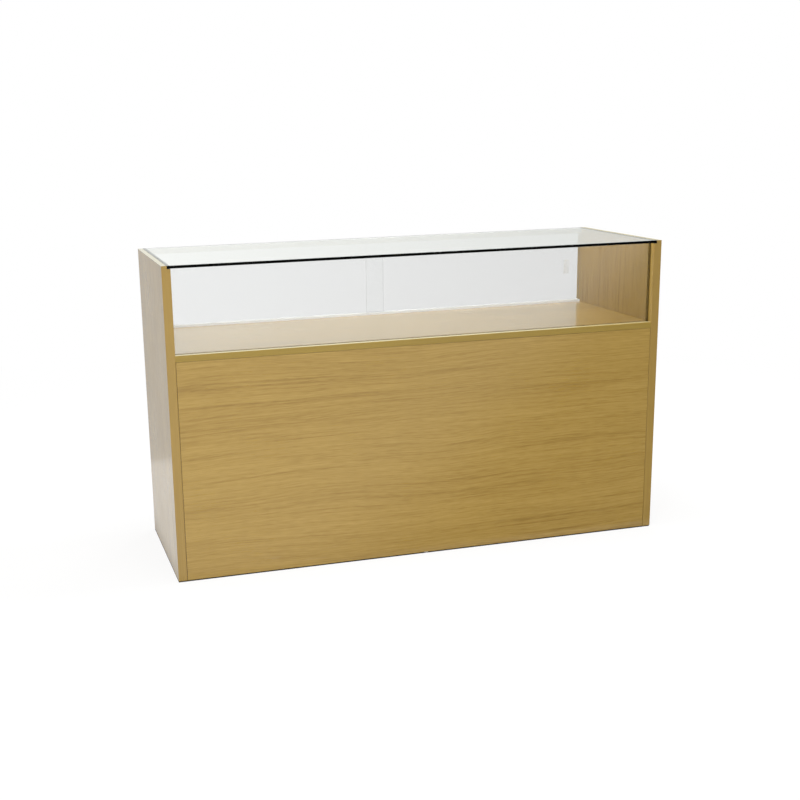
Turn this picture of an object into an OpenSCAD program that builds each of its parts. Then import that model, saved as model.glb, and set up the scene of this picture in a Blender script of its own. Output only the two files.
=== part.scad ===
// Shop counter with a glazed display case on top and open storage behind.
// The customer stands at -Y, the staff at +Y, and the origin is on the floor
// under the middle of the counter. All sizes are in millimetres.

/* [Counter] */
// Width of the counter over its side panels
counter_w = 1500; // [1000:10:2000]
// Depth of the counter from front to back
counter_d = 500; // [400:10:700]
// Height of the counter from the floor to the top glass
counter_h = 900; // [800:10:1100]

/* [Boards] */
// Thickness of the two side panels
side_t = 25; // [22:1:30]
// Thickness of every other board
board_t = 18; // [16:1:22]
// Thickness of the plastic edge bands
band_t = 1; // [0.6:0.2:2]
// Radius that softens the outer corners of an edge band
band_r = 0.8; // [0.3:0.1:1]
// Shadow gap between the front panel and each side panel
side_seam = 1; // [0.4:0.1:2]
// Shadow gap between the front panel and the display floor above it
top_seam = 0.5; // [0.3:0.1:2]
// How far the front panel lies behind the edges round it
front_recess = 1; // [0:0.5:6]

/* [Display case] */
// Clear height between the display floor and the top glass
case_h = 238; // [160:1:400]
// Thickness of the top glass
top_glass_t = 8; // [6:1:12]
// Width of the lip that each side panel keeps outside the top glass
lip_w = 15; // [10:1:17]
// Gap round the top glass, towards the lips and the front and back
top_glass_play = 0.5; // [0.3:0.1:2]
// Thickness of the strips that the top glass lies on
strip_t = 1; // [0.5:0.5:3]
// Thickness of the front glass
front_glass_t = 6; // [4:1:8]
// Distance from the front of the counter to the face of the front glass
front_setback = 18; // [12:1:80]
// Depth of the groove for the front glass in the display floor
floor_groove = 6; // [4:0.5:8]
// Depth of the grooves for the front glass in the side panels
side_groove = 8; // [5:0.5:10]
// Gap on each side of the front glass in its grooves
groove_play = 0.3; // [0.1:0.1:1]
// Gap between each end of the front glass and the bottom of its groove
groove_end_gap = 1; // [0.5:0.5:3]
// Small bevel along the polished glass edges
glass_bevel = 0.6; // [0.3:0.1:1.2]

/* [Sliding doors] */
// Thickness of the door panes
door_t = 5; // [4:0.5:6]
// How far the two panes overlap when both are shut
door_overlap = 60; // [30:5:150]
// Distance from the back of the counter to the door tracks
track_setback = 6; // [4:1:30]
// Gap between each end of the tracks and the side panel
track_end_gap = 0.4; // [0.2:0.1:1]
// Depth of the groove in the display floor that the bottom track lies in
track_groove = 2; // [1:0.5:2]
// Gap between the bottom track and each side of its groove
track_play = 0.2; // [0.1:0.1:0.5]
// Thickness of the walls of the tracks
track_wall = 1.6; // [1.2:0.1:2.5]
// Thickness of the base of each track
track_base = 2; // [1.5:0.5:3]
// Height of the walls of the bottom track above its base
bottom_wall_h = 7; // [5:0.5:10]
// How far each pane reaches up into the top track
top_bite = 6; // [4:0.5:10]
// Spare height that lets a pane be lifted out of the bottom track
lift_spare = 1; // [0.5:0.5:4]
// Gap on each side of a shoe in its channel
shoe_play = 0.2; // [0.1:0.05:0.5]
// Gap under a shoe
run_gap = 0.1; // [0.05:0.05:0.3]
// Gap between a pane and the shoe that grips it
shoe_grip = 0.05; // [0.02:0.01:0.1]
// Thickness of the cheeks of a shoe
shoe_cheek = 0.75; // [0.6:0.05:1.2]
// Thickness of the sole of a shoe
shoe_sole = 1.5; // [1:0.5:3]
// Height of the cheeks of a shoe above the lower edge of its pane
shoe_cheek_h = 4; // [2:0.5:6]
// Length of each shoe
shoe_l = 45; // [25:5:80]
// Distance from the end of a pane to its shoe
shoe_in = 40; // [20:5:100]
// Thickness of the bumpers at the ends of the channels
bumper_t = 3; // [2:0.5:6]
// Gap between a pane and the bumper that stops it
stop_gap = 0.3; // [0.2:0.1:1]
// Radius of the wheel that grinds the finger grips into the panes
grip_wheel_r = 150; // [80:5:250]
// Depth of the finger grips
grip_depth = 2; // [1:0.25:2.5]
// Width of the finger grips
grip_w = 18; // [12:1:30]
// Distance from the end of a pane to its finger grip
grip_in = 38; // [20:1:80]

/* [Storage] */
// Height of the bottom panel above the floor
plinth_h = 60; // [45:5:150]
// Distance from the back of the counter to the plinth rail
rail_setback = 30; // [5:5:80]
// Distance from the back of the counter to the shelves
shelf_setback = 40; // [5:5:120]
// Gap between a shelf and the boards round it
shelf_play = 1.5; // [1:0.5:4]
// Distance between the pin holes above each other
pin_pitch = 32; // [25:1:50]
// Number of pin holes in each row
pin_rows = 7; // [3:2:9]
// Distance from the front and back of a shelf to its pins
pin_in = 40; // [25:1:80]
// Diameter of the shelf pins
pin_d = 5; // [4:0.5:6]
// Depth of the pin holes
pin_depth = 7; // [5:0.5:7]
// Diameter of the head that the shelf lies on
pin_head_d = 9; // [7:0.5:12]
// Length of the head of a shelf pin
pin_head_l = 9; // [6:0.5:9]
// Height of the flat top of the head above the pin's centre
pin_flat = 1; // [0.5:0.5:2]

/* [Fittings] */
// Diameter of the cam housings
cam_d = 15; // [12:1:16]
// Depth of the cam housings in the boards
cam_depth = 13.5; // [12.5:0.5:14]
// Distance from the end of a board to the centre of a cam housing
cam_in = 34; // [24:1:40]
// Diameter of the bore for a bolt in the end of a board
bolt_bore_d = 8; // [7:0.5:9]
// Diameter of the threaded end of a cam bolt
bolt_thread_d = 5; // [4:0.5:6]
// Length of the threaded end of a cam bolt
bolt_thread_l = 11; // [8:1:12]
// Diameter of the caps that cover the cam housings
cap_d = 17; // [17:0.5:20]
// Thickness of the caps that cover the cam housings
cap_t = 0.8; // [0.5:0.1:1.5]
// Diameter of the dowels
dowel_d = 8; // [6:1:8]
// Length of the dowels
dowel_l = 30; // [25:1:40]
// How deep a dowel sits in the face of a board
dowel_face = 11; // [8:1:12]
// Distance from the front and back of a board to its first fitting
fitting_in = 60; // [50:5:90]
// Distance between a cam bolt and the dowel next to it
dowel_step = 32; // [24:1:48]
// Gap all round between a fitting and its bore
fit_gap = 0.1; // [0.05:0.05:0.2]
// Diameter of the floor glides
glide_d = 16; // [12:1:16]
// Height of the floor glides
glide_h = 3; // [2:0.5:6]
// Distance from the front and back of a side panel to its glides
glide_in = 45; // [20:5:100]
// Diameter of the nail of a glide
nail_d = 2.4; // [1.6:0.2:3]
// Length of the nail of a glide
nail_l = 14; // [10:1:20]

/* [Hidden] */
$fn = 40;

// A cut starts this far outside the face that it opens
cut = 1;

// Faces of the counter and of the space between its side panels
x_out = counter_w / 2;
x_in = x_out - side_t;
inner_w = 2 * x_in;
y_front = -counter_d / 2;
y_back = counter_d / 2;

// Levels from the floor up
bottom_top = plinth_h + board_t;
glass_under = counter_h - top_glass_t;
floor_top = glass_under - case_h;
floor_under = floor_top - board_t;
rebate_z = glass_under - strip_t;

// Middle planes of the boards, where their fittings lie
floor_mid = floor_top - board_t / 2;
bottom_mid = plinth_h + board_t / 2;
front_mid = y_front + front_recess + board_t / 2;
front_back = y_front + front_recess + board_t;
rail_mid = y_back - rail_setback - board_t / 2;

// Side panel rebate and the pieces that lie in it
rebate_x = x_out - lip_w;
strip_w = rebate_x - x_in - 2 * top_glass_play;

// Front glass and its grooves
front_glass_y = y_front + front_setback;
front_glass_z = floor_top - floor_groove;
groove_w = front_glass_t + 2 * groove_play;
groove_y = front_glass_y - groove_play;
front_glass_w = inner_w + 2 * (side_groove - groove_end_gap);

// Tracks: two channels between three walls
shoe_w = door_t + 2 * (shoe_grip + shoe_cheek);
channel_w = shoe_w + 2 * shoe_play;
track_w = 2 * channel_w + 3 * track_wall;
track_l = inner_w - 2 * track_end_gap;
track_y = y_back - track_setback - track_w;
track_floor = floor_top - track_groove;
channel_floor = track_floor + track_base;
lift_h = bottom_wall_h + lift_spare;
top_track_h = track_base + lift_h + top_bite;
top_track_z = glass_under - top_track_h;

// Doors: the left pane runs in the outer channel, the right in the inner
pane_z = channel_floor + run_gap + shoe_sole;
pane_h = top_track_z + top_bite - pane_z;
pane_end = x_in - bumper_t - stop_gap;
pane_w = pane_end + door_overlap / 2;
inner_channel_y = track_y + track_wall + channel_w / 2;
outer_channel_y = inner_channel_y + track_wall + channel_w;
grip_z = (floor_top + glass_under) / 2;

// Shelves and their pins
shelf_mid_x = (x_in + board_t / 2) / 2;
shelf_w = x_in - board_t / 2 - 2 * shelf_play;
shelf_y = front_back + cap_t + shelf_play;
shelf_end = y_back - shelf_setback;
pin_mid = (bottom_top + floor_under) / 2;
pin_ys = [shelf_y + pin_in, shelf_end - pin_in];
pin_zs = [for (i = [0 : pin_rows - 1]) pin_mid + (i - (pin_rows - 1) / 2) * pin_pitch];
shelf_under = pin_mid + pin_flat;
pin_collar_l = 1;

// Fitting details
cam_sink = 0.3;
bolt_head_d = 6;
bolt_neck_d = 4;
bolt_head_l = 3;
bolt_flange_l = 1;
throat_d = bolt_head_d + 4 * fit_gap;
drive_w = 1.6;
drive_l = 9;
drive_depth = 2.5;
cap_stub_l = 1.5;
cap_stub_d = drive_w - 2 * fit_gap;
glide_bevel = 0.8;

// A fitting place is a point on the face of a board and a turn that points
// local +X into the end of the other board, with its cam housing open to -Z.
LEFT_END = [0, 0, 0];
RIGHT_END = [0, 0, 180];
function end_turn(s) = s < 0 ? LEFT_END : RIGHT_END;
function upright_turn(s, open_back) = [open_back ? 90 : -90, s < 0 ? 0 : 180, 0];
TO_BACK = [0, 0, 90];
UP = [0, -90, 0];
DOWN = [180, 90, 0];

// Fitting places along the depth and height of the boards
deck_ys = [front_back + fitting_in, y_back - fitting_in];
deck_dowel_ys = [deck_ys[0] + dowel_step, deck_ys[1] - dowel_step];
front_low = bottom_top + fitting_in;
front_high = floor_under - fitting_in;
front_zs = [front_low, (front_low + front_high) / 2, front_high];
front_dowel_zs = [front_low + dowel_step, front_high - dowel_step];
rail_z = (glide_h + plinth_h) / 2;
rail_dowel_x = x_in / 2;
fixing_xs = [for (k = [-2, -1, 1, 2]) k * x_in / 3];

function side_cams(s) = concat(
    [for (y = deck_ys) [[s * x_in, y, floor_mid], end_turn(s)]],
    [for (y = deck_ys) [[s * x_in, y, bottom_mid], end_turn(s)]],
    [for (z = front_zs) [[s * x_in, front_mid, z], upright_turn(s, true)]],
    [[[s * x_in, rail_mid, rail_z], upright_turn(s, false)]]);
function side_dowels(s) = concat(
    [for (y = deck_dowel_ys) [[s * x_in, y, floor_mid], end_turn(s)]],
    [for (y = deck_dowel_ys) [[s * x_in, y, bottom_mid], end_turn(s)]],
    [for (z = front_dowel_zs) [[s * x_in, front_mid, z], upright_turn(s, true)]]);
divider_cams = concat(
    [for (y = deck_ys) [[0, y, bottom_top], UP]],
    [for (y = deck_ys) [[0, y, floor_under], DOWN]]);
divider_dowels = concat(
    [for (y = deck_dowel_ys) [[0, y, bottom_top], UP]],
    [for (y = deck_dowel_ys) [[0, y, floor_under], DOWN]],
    [for (z = front_dowel_zs) [[0, front_back, z], TO_BACK]]);
bottom_dowels = [for (x = fixing_xs) [[x, front_back, bottom_mid], TO_BACK]];
rail_dowels = [for (x = [-rail_dowel_x, 0, rail_dowel_x]) [[x, rail_mid, plinth_h], DOWN]];
all_cams = concat(side_cams(-1), side_cams(1), divider_cams);
all_dowels = concat(side_dowels(-1), side_dowels(1), divider_dowels, bottom_dowels, rail_dowels);

// Glides under both side panels, the front panel and the plinth rail
side_glide_x = x_out - side_t / 2;
glide_spots = concat(
    [for (s = [-1, 1], y = [y_front + glide_in, y_back - glide_in]) [s * side_glide_x, y]],
    [for (y = [front_mid, rail_mid]) [0, y]]);

// Colours
OAK = [0.80, 0.66, 0.43];
BAND = [0.76, 0.61, 0.37];
GLASS = [0.80, 0.90, 0.88, 0.35];
CLEAR = [0.90, 0.92, 0.92, 0.5];
WHITE = [0.91, 0.91, 0.89];
ZINC = [0.72, 0.72, 0.74];
BEECH = [0.88, 0.76, 0.56];
NYLON = [0.93, 0.93, 0.91];
RUBBER = [0.82, 0.82, 0.80];
FOAM = [0.16, 0.16, 0.16];

// Helpers

// Puts its children in the place and turn of one fitting
module at(place) {
    translate(place[0]) rotate(place[1]) children();
}

// Draws its children on the right, or mirrored on the left
module on_side(s) {
    mirror([s < 0 ? 1 : 0, 0, 0]) children();
}

// Box between two corners
module box(a, b) {
    translate(a) cube(b - a);
}

// Cylinder along +X
module rod(d, l) {
    rotate([0, 90, 0]) cylinder(d = d, h = l);
}

// Section of an edge band: glued along y = 0, with its outer corners rounded
module band_section(w) {
    r = min(band_r, band_t);
    intersection() {
        translate([-w / 2, -band_t]) square([w, band_t]);
        union() {
            translate([-w / 2 + r, -band_t]) square([w - 2 * r, band_t]);
            translate([-w / 2, r - band_t]) square([w, band_t]);
            for (s = [-1, 1]) {
                translate([s * (w / 2 - r), r - band_t]) circle(r);
            }
        }
    }
}

// Edge band along X on the back edge of a level board
module back_band(x0, x1, y, z_mid) {
    mirror([0, 1, 0])
        translate([x0, -y, z_mid]) rotate([0, 90, 0]) linear_extrude(x1 - x0) band_section(board_t);
}

// Rectangle with bevelled corners, from the origin
module bevelled_rect(w, h) {
    c = glass_bevel;
    polygon([[c, 0], [w - c, 0], [w, c], [w, h - c], [w - c, h], [c, h], [0, h - c], [0, c]]);
}

// Glass pane with a fine bevel along every polished edge
module glass_pane(size) {
    intersection() {
        linear_extrude(size[2]) bevelled_rect(size[0], size[1]);
        translate([0, size[1], 0]) rotate([90, 0, 0])
            linear_extrude(size[1]) bevelled_rect(size[0], size[2]);
        rotate([90, 0, 90]) linear_extrude(size[0]) bevelled_rect(size[1], size[2]);
    }
}

// Bores for fittings

// Bore in the face of a board for the threaded end of a cam bolt
module bolt_face_bore() {
    translate([-bolt_thread_l - fit_gap, 0, 0]) rod(bolt_thread_d + 2 * fit_gap, bolt_thread_l + cut);
}

// Bores in the end of a board for a cam bolt and its housing
module cam_end_bores() {
    translate([-cut, 0, 0]) rod(bolt_bore_d, cam_in + cut);
    translate([cam_in, 0, -board_t / 2 - cut]) cylinder(d = cam_d, h = cam_depth + cut);
}

// Bore in the face of a board for a dowel
module dowel_face_bore() {
    translate([-dowel_face - fit_gap, 0, 0]) rod(dowel_d + 2 * fit_gap, dowel_face + cut);
}

// Bore in the end of a board for a dowel
module dowel_end_bore() {
    translate([-cut, 0, 0]) rod(dowel_d + 2 * fit_gap, dowel_l - dowel_face + fit_gap + cut);
}

// Bore for the nail of a glide, upwards from the floor
module nail_bore() {
    translate([0, 0, glide_h - cut]) cylinder(d = nail_d + 2 * fit_gap, h = nail_l + fit_gap + cut);
}

// Boards

module side_panel(s) {
    color(OAK) on_side(s) difference() {
        box([x_in, y_front + band_t, glide_h], [x_out, y_back - band_t, counter_h - band_t]);
        // Rebate for the top glass
        box([x_in - cut, y_front - cut, rebate_z], [rebate_x, y_back + cut, counter_h + cut]);
        // Groove for the front glass, open at the top
        box([x_in - cut, groove_y, front_glass_z], [x_in + side_groove, groove_y + groove_w, counter_h]);
        for (place = side_cams(1)) {
            at(place) bolt_face_bore();
        }
        for (place = side_dowels(1)) {
            at(place) dowel_face_bore();
        }
        for (y = pin_ys, z = pin_zs) {
            translate([x_in - cut, y, z]) rod(pin_d, pin_depth + cut);
        }
        for (y = [y_front + glide_in, y_back - glide_in]) {
            translate([side_glide_x, y, 0]) nail_bore();
        }
    }
}

// Band down the front edge of a side panel, or the back edge where flip is 1
module side_edge_band(s, flip) {
    color(BAND) on_side(s) mirror([0, flip, 0]) difference() {
        translate([x_in + side_t / 2, y_front + band_t, glide_h])
            linear_extrude(counter_h - glide_h) band_section(side_t);
        box([x_in - cut, y_front - cut, rebate_z], [rebate_x, 0, counter_h + cut]);
    }
}

// Band along the top of the lip of a side panel
module lip_band(s) {
    color(BAND) on_side(s) translate([x_out - lip_w / 2, y_front + band_t, counter_h - band_t])
        rotate([-90, 0, 0]) linear_extrude(counter_d - 2 * band_t) band_section(lip_w);
}

module front_panel() {
    color(OAK) difference() {
        box([side_seam - x_in, y_front + front_recess, glide_h],
            [x_in - side_seam, front_back, floor_under - top_seam]);
        for (s = [-1, 1], place = side_cams(s)) {
            if (place[0][1] == front_mid) at(place) cam_end_bores();
        }
        for (s = [-1, 1], place = side_dowels(s)) {
            if (place[0][1] == front_mid) at(place) dowel_end_bore();
        }
        for (place = concat(bottom_dowels, divider_dowels)) {
            if (place[1] == TO_BACK) at(place) dowel_face_bore();
        }
        translate([0, front_mid, 0]) nail_bore();
    }
}

module display_floor() {
    color(OAK) difference() {
        box([-x_in, y_front + band_t, floor_under], [x_in, y_back - band_t, floor_top]);
        // Groove for the front glass
        box([-x_in - cut, groove_y, front_glass_z], [x_in + cut, groove_y + groove_w, floor_top + cut]);
        // Groove for the bottom track
        box([-x_in - cut, track_y - track_play, track_floor],
            [x_in + cut, track_y + track_w + track_play, floor_top + cut]);
        for (s = [-1, 1], place = side_cams(s)) {
            if (place[0][2] == floor_mid) at(place) cam_end_bores();
        }
        for (s = [-1, 1], place = side_dowels(s)) {
            if (place[0][2] == floor_mid) at(place) dowel_end_bore();
        }
        for (place = divider_cams) {
            if (place[1] == DOWN) at(place) bolt_face_bore();
        }
        for (place = divider_dowels) {
            if (place[1] == DOWN) at(place) dowel_face_bore();
        }
    }
}

module floor_edge_bands() {
    color(BAND) {
        back_band(-x_in, x_in, y_back - band_t, floor_mid);
        mirror([0, 1, 0]) back_band(-x_in, x_in, y_back - band_t, floor_mid);
    }
}

module bottom_panel() {
    color(OAK) difference() {
        box([-x_in, front_back, plinth_h], [x_in, y_back - band_t, bottom_top]);
        for (s = [-1, 1], place = side_cams(s)) {
            if (place[0][2] == bottom_mid) at(place) cam_end_bores();
        }
        for (s = [-1, 1], place = side_dowels(s)) {
            if (place[0][2] == bottom_mid) at(place) dowel_end_bore();
        }
        for (place = divider_cams) {
            if (place[1] == UP) at(place) bolt_face_bore();
        }
        for (place = divider_dowels) {
            if (place[1] == UP) at(place) dowel_face_bore();
        }
        for (place = bottom_dowels) {
            at(place) dowel_end_bore();
        }
        for (place = rail_dowels) {
            at(place) dowel_face_bore();
        }
    }
}

module bottom_edge_band() {
    color(BAND) back_band(-x_in, x_in, y_back - band_t, bottom_mid);
}

module centre_divider() {
    color(OAK) difference() {
        box([-board_t / 2, front_back, bottom_top], [board_t / 2, y_back - band_t, floor_under]);
        for (place = divider_cams) {
            at(place) cam_end_bores();
        }
        for (place = divider_dowels) {
            at(place) dowel_end_bore();
        }
        for (s = [-1, 1], y = pin_ys, z = pin_zs) {
            on_side(s) translate([board_t / 2 - pin_depth, y, z]) rod(pin_d, pin_depth + cut);
        }
    }
}

module divider_edge_band() {
    color(BAND) mirror([0, 1, 0])
        translate([0, band_t - y_back, bottom_top])
            linear_extrude(floor_under - bottom_top) band_section(board_t);
}

module plinth_rail() {
    color(OAK) difference() {
        box([-x_in, rail_mid - board_t / 2, glide_h], [x_in, rail_mid + board_t / 2, plinth_h]);
        for (s = [-1, 1], place = side_cams(s)) {
            if (place[0][1] == rail_mid) at(place) cam_end_bores();
        }
        for (place = rail_dowels) {
            at(place) dowel_end_bore();
        }
        translate([0, rail_mid, 0]) nail_bore();
    }
}

// Shelf of one storage bay, lying on its four pins
module shelf(s) {
    color(OAK) translate([s * shelf_mid_x, 0, 0])
        box([-shelf_w / 2, shelf_y, shelf_under], [shelf_w / 2, shelf_end - band_t, shelf_under + board_t]);
}

module shelf_edge_band(s) {
    color(BAND) translate([s * shelf_mid_x, 0, 0])
        back_band(-shelf_w / 2, shelf_w / 2, shelf_end - band_t, shelf_under + board_t / 2);
}

// One shelf pin: shank in its hole, collar on the board and a head with a flat top
module shelf_pin() {
    translate([-pin_depth + fit_gap, 0, 0]) rod(pin_d - 2 * fit_gap, pin_depth);
    difference() {
        union() {
            rod(pin_head_d, pin_collar_l);
            rod(pin_head_d - 2 * pin_flat, pin_collar_l + pin_head_l);
        }
        box([-cut, -pin_head_d, pin_flat], [pin_collar_l + pin_head_l + cut, pin_head_d, pin_head_d]);
    }
}

module shelf_pins(s) {
    color(ZINC) for (y = pin_ys) {
        on_side(s) {
            translate([board_t / 2, y, pin_mid]) shelf_pin();
            translate([x_in, y, pin_mid]) rotate([0, 0, 180]) shelf_pin();
        }
    }
}

// Fittings

// Cam housing with the throat for the bolt's head and a crossed drive
module cam_housing() {
    translate([cam_in, 0, cam_sink - board_t / 2]) difference() {
        cylinder(d = cam_d - 2 * fit_gap, h = cam_depth - cam_sink - fit_gap);
        translate([-cam_d, 0, board_t / 2 - cam_sink]) rod(throat_d, cam_d + bolt_head_l / 2 + fit_gap);
        for (a = [0, 90]) {
            rotate([0, 0, a])
                box([-drive_l / 2, -drive_w / 2, -cut], [drive_l / 2, drive_w / 2, drive_depth]);
        }
    }
}

// Cam bolt: threaded end in the board's face, flange, shank, neck and head
module cam_bolt() {
    neck_x = cam_in - cam_d / 2 + fit_gap;
    head_x = cam_in - bolt_head_l / 2;
    translate([-bolt_thread_l, 0, 0]) rod(bolt_thread_d, bolt_thread_l);
    rod(bolt_bore_d - 2 * fit_gap, bolt_flange_l);
    rod(bolt_head_d, neck_x);
    rod(bolt_neck_d, cam_in);
    translate([head_x, 0, 0]) rod(bolt_head_d, bolt_head_l);
}

// Cap over a cam housing, held by a stub in its drive
module cam_cap() {
    translate([cam_in, 0, -board_t / 2]) {
        translate([0, 0, -cap_t]) cylinder(d = cap_d, h = cap_t);
        cylinder(d = cap_stub_d, h = cap_stub_l);
    }
}

// Dowel with bevelled ends
module dowel() {
    c = dowel_d / 8;
    translate([-dowel_face, 0, 0]) rotate([0, 90, 0]) rotate_extrude()
        polygon([
            [0, 0], [dowel_d / 2 - c, 0], [dowel_d / 2, c],
            [dowel_d / 2, dowel_l - c], [dowel_d / 2 - c, dowel_l], [0, dowel_l]
        ]);
}

// Nail-on glide with a bevelled rim
module glide() {
    r = glide_d / 2;
    n = nail_d / 2;
    rotate_extrude()
        polygon([
            [0, 0], [r - glide_bevel, 0], [r, glide_bevel], [r, glide_h],
            [n, glide_h], [n, glide_h + nail_l - nail_d], [0, glide_h + nail_l]
        ]);
}

module cam_housings() {
    color(ZINC) for (place = all_cams) {
        at(place) cam_housing();
    }
}

module cam_bolts() {
    color(ZINC) for (place = all_cams) {
        at(place) cam_bolt();
    }
}

module cam_caps() {
    color(OAK) for (place = all_cams) {
        at(place) cam_cap();
    }
}

module dowels() {
    color(BEECH) for (place = all_dowels) {
        at(place) dowel();
    }
}

module glides() {
    color(NYLON) for (spot = glide_spots) {
        translate(spot) glide();
    }
}

// Glass

module top_glass() {
    size = [2 * (rebate_x - top_glass_play), counter_d - 2 * top_glass_play, top_glass_t];
    color(GLASS) translate([-size[0] / 2, -size[1] / 2, glass_under]) glass_pane(size);
}

// Dark foam strips in the side rebates, under the top glass
module side_strips() {
    color(FOAM) for (s = [-1, 1]) {
        on_side(s) translate([x_in + top_glass_play, y_front + band_t, rebate_z])
            cube([strip_w, counter_d - 2 * band_t, strip_t]);
    }
}

module front_glass() {
    color(GLASS) translate([-front_glass_w / 2, front_glass_y, front_glass_z])
        glass_pane([front_glass_w, front_glass_t, rebate_z - front_glass_z]);
}

// Clear strip between the front glass and the top glass
module front_glass_strip() {
    color(CLEAR) translate([-x_in, front_glass_y, rebate_z]) cube([inner_w, front_glass_t, strip_t]);
}

// Door tracks of white plastic

// Section of a track: a base and three walls with rounded tips, from y = 0
module track_section(wall_h) {
    square([track_w, track_base]);
    for (i = [0 : 2]) {
        translate([i * (track_wall + channel_w), 0]) {
            square([track_wall, track_base + wall_h - track_wall / 2]);
            translate([track_wall / 2, track_base + wall_h - track_wall / 2]) circle(d = track_wall);
        }
    }
}

module track_bottom() {
    color(WHITE) translate([-track_l / 2, track_y, track_floor])
        rotate([90, 0, 90]) linear_extrude(track_l) track_section(bottom_wall_h);
}

// The top track hangs under the top glass and is deep enough to lift a pane
module track_top() {
    color(WHITE) translate([-track_l / 2, track_y, glass_under])
        mirror([0, 0, 1]) rotate([90, 0, 90])
            linear_extrude(track_l) track_section(lift_h + top_bite);
}

// Soft bumper at each end of each channel
module track_bumpers() {
    color(RUBBER) for (s = [-1, 1], y = [inner_channel_y, outer_channel_y]) {
        on_side(s) translate([x_in - bumper_t, y - shoe_w / 2, channel_floor])
            cube([bumper_t, shoe_w, bottom_wall_h]);
    }
}

// Doors

// Glass pane of one door, with the finger grip ground into its staff side
module door_pane(s) {
    y = s < 0 ? outer_channel_y : inner_channel_y;
    color(GLASS) on_side(s) difference() {
        translate([pane_end - pane_w, y - door_t / 2, pane_z]) glass_pane([pane_w, door_t, pane_h]);
        translate([pane_end - grip_in - grip_w, y + door_t / 2 - grip_depth + grip_wheel_r, grip_z])
            rotate([0, 90, 0]) cylinder(r = grip_wheel_r, h = grip_w, $fn = 96);
    }
}

// Nylon shoe that grips the lower edge of a pane, centred on the channel
module shoe() {
    translate([0, -shoe_w / 2, channel_floor + run_gap]) difference() {
        cube([shoe_l, shoe_w, shoe_sole + shoe_cheek_h]);
        translate([-cut, shoe_cheek, shoe_sole])
            cube([shoe_l + 2 * cut, door_t + 2 * shoe_grip, shoe_cheek_h + cut]);
    }
}

module door_shoes(s) {
    y = s < 0 ? outer_channel_y : inner_channel_y;
    color(NYLON) on_side(s) {
        translate([pane_end - shoe_in - shoe_l, y, 0]) shoe();
        translate([pane_end - pane_w + shoe_in, y, 0]) shoe();
    }
}

side_panel(-1);  // side_panel_left
side_panel(1);  // side_panel_right
side_edge_band(-1, 0);  // front_edge_band_left
side_edge_band(1, 0);  // front_edge_band_right
side_edge_band(-1, 1);  // back_edge_band_left
side_edge_band(1, 1);  // back_edge_band_right
lip_band(-1);  // lip_band_left
lip_band(1);  // lip_band_right
front_panel();
display_floor();
floor_edge_bands();
bottom_panel();
bottom_edge_band();
centre_divider();
divider_edge_band();
plinth_rail();
shelf(-1);  // shelf_left
shelf(1);  // shelf_right
shelf_edge_band(-1);  // shelf_edge_band_left
shelf_edge_band(1);  // shelf_edge_band_right
shelf_pins(-1);  // shelf_pins_left
shelf_pins(1);  // shelf_pins_right
cam_housings();
cam_bolts();
cam_caps();
dowels();
glides();
top_glass();
side_strips();
front_glass();
front_glass_strip();
track_bottom();
track_top();
track_bumpers();
door_pane(-1);  // door_pane_left
door_pane(1);  // door_pane_right
door_shoes(-1);  // door_shoes_left
door_shoes(1);  // door_shoes_right
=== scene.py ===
# %% [markdown]
# Shop counter in light oak laminate and glass.
#
# The counter is a flat-pack piece of shop furniture: boards of coated chipboard
# joined with cam fittings, a display case with a glass front and top, and two
# sliding glass doors on the staff side. Its pieces arrive as a fixed frame with
# the real sizes, so this lesson is about light, camera and finishes: how a printed
# oak decor, a chipboard core, polished glass, clear plastic and zinc are made
# from nodes alone, with no picture files.
#
# Everything is in metres. The customer stands at -Y, the staff at +Y, +Z is up
# and the floor is at zero.

import math

import bmesh
import bpy
from mathutils import Matrix, Vector


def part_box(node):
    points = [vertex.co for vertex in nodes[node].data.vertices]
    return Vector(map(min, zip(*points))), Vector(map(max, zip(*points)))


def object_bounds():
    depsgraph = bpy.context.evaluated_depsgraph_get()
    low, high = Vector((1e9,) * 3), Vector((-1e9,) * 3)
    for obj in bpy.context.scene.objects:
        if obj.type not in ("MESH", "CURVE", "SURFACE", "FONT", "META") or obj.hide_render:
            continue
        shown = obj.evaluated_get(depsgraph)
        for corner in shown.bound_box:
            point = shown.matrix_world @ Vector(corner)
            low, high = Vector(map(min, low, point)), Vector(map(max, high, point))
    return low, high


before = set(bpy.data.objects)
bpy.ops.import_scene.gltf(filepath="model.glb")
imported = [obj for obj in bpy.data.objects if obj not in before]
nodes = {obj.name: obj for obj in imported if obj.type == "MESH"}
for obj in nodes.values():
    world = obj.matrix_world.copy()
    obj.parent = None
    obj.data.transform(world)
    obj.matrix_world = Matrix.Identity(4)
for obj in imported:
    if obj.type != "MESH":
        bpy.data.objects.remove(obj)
frame_low, frame_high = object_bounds()
print("nodes:", len(nodes), "size:", tuple(round(v, 3) for v in frame_high - frame_low))

# %% [markdown]
# The camera comes first, because every later choice is judged through it. It
# stands a little above the counter's top, to the left of it, and looks slightly
# down. Its place, turn and focal length are written as real sizes: they were
# found by fitting a pinhole camera to the counter's corners and long edges. The
# shift lets the counter sit right of the lens axis, as in a cropped picture.

# %% Camera
IMAGE_PIXELS = 800
SENSOR_MM = 36.0
FOCAL_PIXELS = 1238.8
LENS_AXIS_PIXEL = (345.0, 435.0)
CAMERA_PLACE = Vector((-1.1981, -3.5737, 1.2781))
CAMERA_AZIMUTH = math.radians(15.943)
CAMERA_ELEVATION = math.radians(14.429)
CAMERA_ROLL = math.radians(-1.194)

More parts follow.
